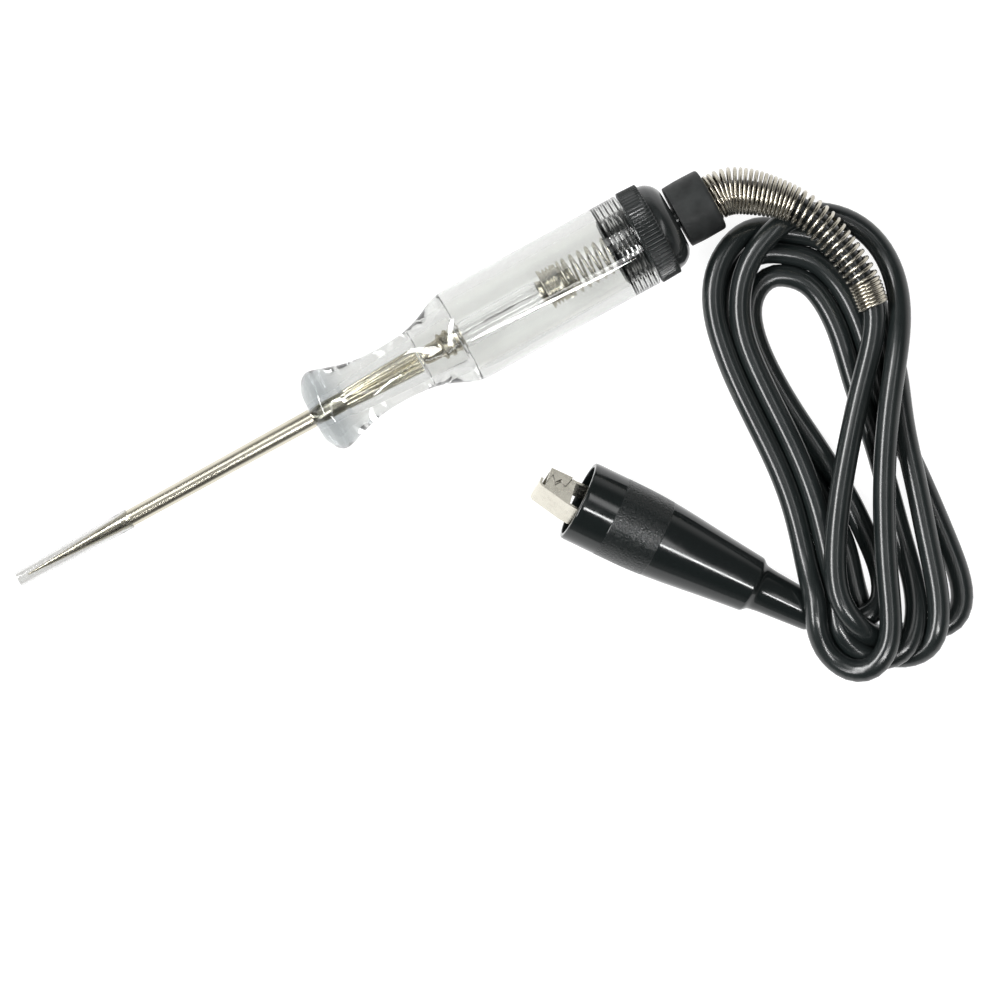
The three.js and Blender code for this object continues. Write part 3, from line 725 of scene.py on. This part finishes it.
def handle_barrel():
    """Finger stop, waist and barrel, with the rod's bore, the lamp's chamber and a female thread."""
    outer = spline([
        (1.1, 7.3, 0), (1.9, 8.0, 0), (2.9, 8.3, 0), (4.2, 8.1, 0), (6.6, 7.3, 0), (10.2, 6.25, 0),
        (13.8, 5.75, 0), (17.5, 5.68, 0), (21, 5.85, 0), (24, 6.35, 0), (27, 7.4, 0), (29.8, 8.7, 0),
        (31.8, 9.3, 0), (33.6, 9.5, 0),
    ], 6)
    front = fillet([(-0.35, 1.98), (-0.4, 3.4, 1), (-0.1, 5.2, 1.2), (1.1, 7.3)])
    back = fillet([(33.6, 9.5), (BARREL_REAR, 9.5, 0.25), (BARREL_REAR, CHAMBER_RADIUS + 0.1)])
    threads = []
    for k in range(THREAD_TURNS):
        x = BARREL_REAR - 0.4 - k * THREAD_PITCH
        crest, root = CHAMBER_RADIUS, CHAMBER_RADIUS + THREAD_DEPTH
        threads += [(x, crest), (x - 0.12, crest), (x - 0.48, root), (x - 0.6, root), (x - 0.97, crest)]
    chamber = fillet([
        (64, CHAMBER_RADIUS), (32.3, CHAMBER_RADIUS, 0.3), (32.0, 4.7, 0.3),
        (ROD_REAR + 0.5, 4.3, 0.3), (ROD_REAR + 0.3, 2.9, 0.1), (SPLINE_START + 0.6, 2.3, 0.1),
        (SPLINE_START - 0.3, 2.0, 0.1), (3, 1.98),
    ])
    profile = front[:-1] + [tuple(p[:2]) for p in outer] + back[1:] + threads + chamber
    barrel = mesh_piece("handle_shell", *revolve(profile, 180, ring=True), TOOL,
                        surface["clear_acrylic"], "handle", "clear_acrylic", sharp=35)
    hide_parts("handle_barrel")


# --- Lamp and contacts ---------------------------------------------------------------------

LAMP_FRONT = 25.4
LAMP_REAR = 55.8
FILAMENT_WIRE = 0.08
FILAMENT_COIL = 0.2
FILAMENT_TURNS = 26
SPRING_SEAT = 54.4
CONTACT_WIRE = 0.26
# A spring's turns so far, at shares of its length. Its ends are wound closer than its middle.
CONTACT_TURNS = ((0, 0.04, 0.96, 1), (0, 1, 9.5, 10.5))


def front_contact():
    """The stepped cup that joins the rod to the lamp's front cap."""
    neck, edge = 2.3, 0.05
    flanges = []
    for start, radius in ((29.2, 2.7), (30.6, 2.75), (32.0, 2.95)):
        end = start + 0.4
        flanges += [(start, neck, edge), (start, radius, edge), (end, radius, edge), (end, neck, edge)]
    flanges[-1] = (32.4, 2.65, edge)
    profile = fillet([
        (ROD_REAR + 0.6, 0.5, 0.1), (ROD_REAR + 0.65, 1.4, 0.8), (ROD_REAR + 2.2, 1.8, 0.7),
        (28.6, 1.85, 0.3),
    ] + flanges + [
        (31.0, 2.15), (29.4, 1.95), (28.2, 1.6), (ROD_REAR + 1.8, 1.5, 0.3), (ROD_REAR + 1.1, 0.5),
    ], closed=True)
    cup = mesh_piece("front_contact_stepped", *revolve(profile, 64, ring=True), TOOL,
                     surface["contact_brass"], "handle", "contact_brass")
    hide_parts("front_contact_cup")


def lamp():
    """A festoon lamp: two pointed caps, the glass between them, and the filament."""
    for name, node, start, way in (
        ("lamp_cap_front", "lamp_front_cap", LAMP_FRONT, 1),
        ("lamp_cap_rear", "lamp_rear_cap", LAMP_REAR, -1),
    ):
        profile = fillet([
            (start, 0), (start, 0.7, 0.4), (start + way * 0.9, 1.2, 0.5), (start + way * 3.0, 1.4, 0.3),
            (start + way * 4.4, 1.85, 0.3), (start + way * 6.2, 2.45, 0.1),
            (start + way * 6.3, 2.3, 0.05), (start + way * 4.6, 1.75, 0.2), (start + way * 3.6, 0),
        ])
        cap = mesh_piece(name, *revolve(profile, 48), TOOL, surface["nickel"], "lamp", "nickel")
        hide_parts(node)
    first, last = LAMP_FRONT + 4.4, LAMP_REAR - 4.4
    profile = fillet([
        (first, 0.5, 0.1), (first, 1.6, 0.5), (first + 0.8, 2.1, 0.6), (first + 3.2, 2.65, 1.2),
        (last - 3.2, 2.65, 1.2), (last - 0.8, 2.1, 0.6), (last, 1.6, 0.5), (last, 0.5, 0.1),
        (last - 0.5, 0.5, 0.1), (last - 1.6, 1.8, 0.6), (last - 3.6, 2.35, 1), (first + 3.6, 2.35, 1),
        (first + 1.6, 1.8, 0.6), (first + 0.5, 0.5, 0.1),
    ], closed=True)
    glass = mesh_piece("lamp_bulb", *revolve(profile, 48, ring=True), TOOL,
                       surface["lamp_glass"], "lamp", "lamp_glass")
    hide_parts("lamp_glass")
    filament()


def filament():
    """Two support wires with a fine coil slung between them."""
    front_end, rear_end = (37.4, 0.3, 1.15), (44, 0.3, 1.15)
    front_wire = spline([(LAMP_FRONT + 3.8, 0, 0), (33, 0.1, 0.2), (36.4, 0.3, 0.9), front_end], 8)
    rear_wire = spline([(LAMP_REAR - 3.8, 0, 0), (48.4, 0.1, 0.2), (45, 0.3, 0.9), rear_end], 8)
    sling = spline([front_end, (40.7, 0.3, 0.8), rear_end], 20)
    winding = coil(sling, lambda t: FILAMENT_COIL, lambda t: FILAMENT_TURNS * t, 8)
    whole = np.vstack([front_wire[:-1], winding, rear_wire[::-1][1:]])
    wire = mesh_piece("filament_and_supports", *tube(whole, FILAMENT_WIRE, 6), TOOL,
                      surface["tungsten"], "lamp", "tungsten")
    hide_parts("lamp_filament")


def rear_contact():
    """The grooved cup on the lamp's rear cap, with a spigot for the contact spring."""
    rear = LAMP_REAR + 0.9
    mouth = rear - 6.1
    body, floor, lip = 3.8, 3.25, 4.05
    grooves = []
    for start in (mouth + 0.7, mouth + 1.45, mouth + 2.2):
        grooves += [(start, body, 0.08), (start + 0.1, floor, 0.08), (start + 0.35, floor, 0.08),
                    (start + 0.45, body, 0.08)]
    profile = fillet([
        (rear, 0), (rear, 2.5, 0.3), (SPRING_SEAT, 2.9, 0.1), (SPRING_SEAT - 0.1, 3.7, 0.2),
    ] + grooves[::-1] + [
        (mouth + 0.4, body, 0.1), (mouth + 0.3, lip, 0.1), (mouth, lip, 0.1), (mouth, 2.8, 0.1),
        (mouth + 2, 2.6), (SPRING_SEAT, 2.1, 0.3), (rear - 0.6, 1.8), (rear - 0.6, 0),
    ])
    cup = mesh_piece("rear_contact_grooved", *revolve(profile, 64), TOOL,
                     surface["nickel"], "lamp", "nickel")
    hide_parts("rear_contact_cup")


def contact_spring():
    """The spring from the rear contact to the cap's plate."""
    start, end = SPRING_SEAT + 0.25, 70.2
    line = np.array([(x, 0, 0) for x in np.linspace(start, end, 40)])
    winding = coil(line, lambda t: 3.65 - 0.35 * t, lambda t: np.interp(t, *CONTACT_TURNS), 32)
    spring = mesh_piece("contact_spring_wire", *tube(winding, CONTACT_WIRE, 10), TOOL,
                        surface["nickel"], None, "nickel")
    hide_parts("contact_spring")
    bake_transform(spring)


# --- Cap and collar ------------------------------------------------------------------------

KNURL_START, KNURL_END = 71.2, 75.6
CAP_END = 79.0
COLLAR_START, COLLAR_END = 79.6, 87.2
RIBS = 72
RIB_DEPTH = 0.34
RIB_EDGE = 0.15


def screw_cap():
    """The cap, with a male thread, a knurled ring and a domed end."""

    def knurled(x, r, angle):
        if not KNURL_START + RIB_EDGE < x < KNURL_END - RIB_EDGE or r < 9:
            return r
        return r - RIB_DEPTH * (0.5 - 0.5 * math.cos(RIBS * angle)) ** 1.3

    thread = []
    steps = 8
    for k in range(int((KNURL_START - CAP_FRONT - 0.4) / THREAD_PITCH * steps)):
        x = CAP_FRONT + 0.3 + k * THREAD_PITCH / steps
        thread.append((x, 6.62 + 0.26 * math.cos(2 * math.pi * k / steps)))
    knurl = [(KNURL_START, 9.1), (KNURL_START + 0.16, 9.6), (KNURL_START + 0.24, 9.69)]
    knurl += [(KNURL_START + 0.24 + 3.9 * k / 4, 9.69 - 0.14 * k / 4) for k in range(1, 5)]
    knurl += [(KNURL_END - 0.18, 9.48), (KNURL_END - 0.05, 9.1)]
    dome = fillet([
        (KNURL_END, 8.85), (KNURL_END + 0.15, 8.84), (KNURL_END + 1.2, 8.65, 0.8),
        (KNURL_END + 2.6, 7.7, 1.2), (CAP_END, 6.3, 0.5), (CAP_END + 0.05, 3, 0.2), (CAP_END, 2.3),
    ])
    inside = [
        (72.6, 2.3), (72.5, 4.6), (CAP_FRONT + 0.3, 4.8), (CAP_FRONT, 5.1), (CAP_FRONT, 6.1),
        (CAP_FRONT + 0.2, 6.35),
    ]
    profile = thread + [(KNURL_START, 6.5)] + knurl + dome + inside
    cap = mesh_piece("screw_cap_knurled", *revolve(profile, 576, knurled, ring=True), TOOL,
                     surface["gloss_black"], ROOT, "gloss_black", sharp=35)
    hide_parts("screw_cap")


def collar():
    """The rubber bush, with a recess in its end for the strain relief."""
    profile = fillet([
        (COLLAR_START, 2.3), (COLLAR_START, 6.25, 0.3), (COLLAR_START + 3, 6.4, 1),
        (COLLAR_END, 6.3, 0.8), (COLLAR_END, 4.75, 0.2), (COLLAR_END - 1.2, 4.7, 0.1),
        (COLLAR_END - 1.3, 2.3),
    ], steps=7, closed=True)
    bush = mesh_piece("collar_bush_moulded", *revolve(profile, 72, ring=True), TOOL,
                      surface["matte_rubber"], ROOT, "matte_rubber")
    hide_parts("collar_bush")


# --- Strain relief -------------------------------------------------------------------------

STRAIN_WIRE = 0.37
STRAIN_RADII = (
    (0, 0.1, 0.2, 0.32, 0.42, 0.6, 0.8, 1),
    (4.2, 4.3, 4.15, 3.6, 3.2, 3.2, 2.95, 2.8),
)
STRAIN_TURNS = ((0, 0.41, 0.885, 1), (0, 20, 34, 41))


def strain_relief():
    """The wire spring round the lead. It opens out along its middle and closes again at its end."""
    start = tuple(TOOL @ Vector((COLLAR_END - 0.8, 0, 0)))
    covered = LEAD_ROUTE[STRAIN_FIRST_POINT + 1:STRAIN_LAST_POINT + 1]
    line = resample(spline([start] + covered, 16), 0.4)
    winding = coil(line, lambda t: np.interp(t, *STRAIN_RADII),
                   lambda t: np.interp(t, *STRAIN_TURNS), 36)
    spring = mesh_piece("strain_relief_wire", *tube(winding, STRAIN_WIRE, 10), TABLE,
                        surface["nickel_wire"], ROOT, "nickel")
    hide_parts("strain_relief_spring")
    return spring


# --- Clip ----------------------------------------------------------------------------------

TORSION_WIRE = 0.22
TORSION_RADIUS = 1.45
TORSION_HALF_WIDTH = 1.05
TORSION_TURNS = 4.4
LEG_STATION = PIVOT_STATION + 8
LEG_SPREAD = 3.2
EDGE_BEVEL = 0.00012  # metres


def clip_boot():
    """The boot from its mouth back, then its neck, and its inside from the neck to the mouth."""
    profile = fillet([
        (0, 7.05, 0.1), (0, 7.9, 0.45), (0.6, 8.0, 0.4), (13.5, 8.0, 4), (20, 7.5, 4), (30, 6.35, 4),
        (BOOT_LENGTH - 0.3, 5.6, 0.15), (BOOT_LENGTH, 5.4, 0.1), (BOOT_LENGTH + 0.9, 4.6, 0.9),
        (BOOT_LENGTH + 3, 4.3, 1), (45, NECK_RADIUS, 2), (NECK_END - 0.6, 3.6, 0.4),
        (NECK_END, 3.2, 0.2), (NECK_END, 2.25),
        (34, 2.25), (32, 4.3, 0.6), (24, 6.0, 2), (14, 6.95, 3), (1, 7.0, 0.3),
    ], closed=True)
    boot = mesh_piece("clip_boot_moulded", *revolve(profile, 96, ring=True), CLIP,
                      surface["boot_vinyl"], ROOT, "boot_vinyl")
    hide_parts("clip_boot")
    return boot


def torsion_spring():
    """The spring round the clip's pin, with a leg to each jaw."""
    winding = [(LEG_STATION, -LEG_SPREAD, -TORSION_HALF_WIDTH)]
    steps = 110
    for i in range(steps + 1):
        angle = -math.pi / 2 - 0.35 + 2 * math.pi * TORSION_TURNS * i / steps
        winding.append((
            PIVOT_STATION + TORSION_RADIUS * math.cos(angle),
            TORSION_RADIUS * math.sin(angle),
            -TORSION_HALF_WIDTH + 2 * TORSION_HALF_WIDTH * i / steps,
        ))
    winding.append((LEG_STATION, LEG_SPREAD, TORSION_HALF_WIDTH))
    spring = mesh_piece("torsion_spring_wire", *tube(np.array(winding), TORSION_WIRE, 8), CLIP,
                        surface["nickel"], None, "nickel")
    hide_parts("clip_torsion_spring")
    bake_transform(spring)
    return spring


def dress_cad_nodes():
    """The CAD's own sheet metal and small parts stay, with fine edges and a finish."""
    looks = {
        "clip_lower_jaw": "clip_nickel", "clip_upper_jaw": "clip_nickel",
        "clip_pivot_pin": "clip_nickel", "clip_crimp_barrel": "clip_nickel",
        "clip_conductor": "copper", "lead_core_end": "copper", "cap_contact_plate": "contact_brass",
    }
    for node, look in looks.items():
        piece = frame["nodes"][node]
        piece.data.materials.clear()
        piece.data.materials.append(surface[look])
        bevel = piece.modifiers.new("soft_edges", "BEVEL")
        bevel.width = EDGE_BEVEL
        bevel.segments = 2
        bevel.limit_method = "ANGLE"
        bevel.angle_limit = math.radians(35)


probe_rod()
tip_cover()
handle_barrel()
front_contact()
lamp()
rear_contact()
contact_spring()
screw_cap()
collar()
strain = strain_relief()
boot = clip_boot()
torsion = torsion_spring()
dress_cad_nodes()

# --- Table and light, in metres ------------------------------------------------------------

TABLE_REACH = 3.0
TABLE_DROP = 0.00005  # keeps the table's face off the lowest points of the object


def table():
    """White paper, lit mostly by its own glow, so that it stays white under any light."""
    corners = [(-1, -1), (1, -1), (1, 1), (-1, 1)]
    mesh = bpy.data.meshes.new("table")
    mesh.from_pydata([(x * TABLE_REACH, y * TABLE_REACH, -TABLE_DROP) for x, y in corners],
                     [], [[0, 1, 2, 3]])
    top = bpy.data.objects.new("table", mesh)
    bpy.context.scene.collection.objects.link(top)
    paper = Finish("table_paper", (0.3, 0.3, 0.3), 0.9, Specular_IOR_Level=0.0)
    paper.shader.inputs["Emission Color"].default_value = (1, 1, 1, 1)
    paper.shader.inputs["Emission Strength"].default_value = 0.9
    mesh.materials.append(paper.material)


def studio_point(right, up, height):
    """A point to the right of the view's middle, up from it, and above the table."""
    middle_x, middle_y = CAMERA_CENTRE
    turn_cos, turn_sin = math.cos(CAMERA_TURN), math.sin(CAMERA_TURN)
    return Vector((middle_x * MM + right * turn_cos - up * turn_sin,
                   middle_y * MM + right * turn_sin + up * turn_cos, height))


def softbox(name, place, aim, heading, size, radiance):
    """A rectangle of light. place and aim are studio points, and size is length and width.

    heading is the angle of its length from the right of the view.
    """
    data = bpy.data.lights.new(name, "AREA")
    data.shape = "RECTANGLE"
    data.size, data.size_y = size
    data.energy = radiance * math.pi * size[0] * size[1]
    light = bpy.data.objects.new(name, data)
    bpy.context.scene.collection.objects.link(light)
    back = (studio_point(*place) - studio_point(*aim)).normalized()
    length = Matrix.Rotation(CAMERA_TURN + math.radians(heading), 3, "Z") @ Vector((1, 0, 0))
    length = (length - back * length.dot(back)).normalized()
    turn = Matrix((length, back.cross(length), back)).transposed()
    light.matrix_world = Matrix.Translation(studio_point(*place)) @ turn.to_4x4()


def room():
    """A dark ceiling and pale walls, palest at the upper right of the view."""
    world = bpy.data.worlds.new("studio")
    bpy.context.scene.world = world
    world.use_nodes = True
    sky = Shading(world.node_tree)
    direction = sky.add("ShaderNodeTexCoord").outputs["Generated"]
    split = sky.add("ShaderNodeSeparateXYZ")
    sky.link(direction, split.inputs["Vector"])
    palest = studio_point(0.54, 0.84, 0) - studio_point(0, 0, 0)
    facing = sky.computed("ShaderNodeVectorMath", "DOT_PRODUCT", direction, palest)
    by_height = sky.mapped(split.outputs["Z"], (0.12, 0.5), (0.9, 0.09), interpolation_type="SMOOTHSTEP")
    by_side = sky.mapped(facing, (-0.6, 0.8), (0.35, 1.0), interpolation_type="SMOOTHSTEP")
    background = sky.tree.nodes["Background"]
    sky.link(sky.computed("ShaderNodeMath", "MULTIPLY", by_height, by_side),
             background.inputs["Strength"])
    background.inputs["Color"].default_value = (1, 1, 0.99, 1)


table()
room()
middle = (0, 0, 0)
softbox("left_strip", (-0.8, 0.05, 1.0), middle, 90, (1.4, 0.26), 20)
softbox("right_strip", (0.4, 0, 1.0), middle, 90, (1.0, 0.14), 4)
softbox("overhead", (0.0, 0.1, 1.4), middle, 90, (0.6, 0.3), 0.7)
softbox("rod_panel", (-0.3, 0.44, 1.0), (-0.06, 0, 0), 28.8, (0.5, 0.34), 2.2)
softbox("rod_card", (0.03, -0.16, 1.0), (-0.06, 0, 0), 28.8, (0.4, 0.06), 0.7)
softbox("boot_strip", (0.121, -0.151, 0.4), (0.03, -0.02, 0), -26, (0.2, 0.03), 40)

bpy.context.scene.view_settings.view_transform = "Standard"
bpy.context.scene.view_settings.exposure = 0.0
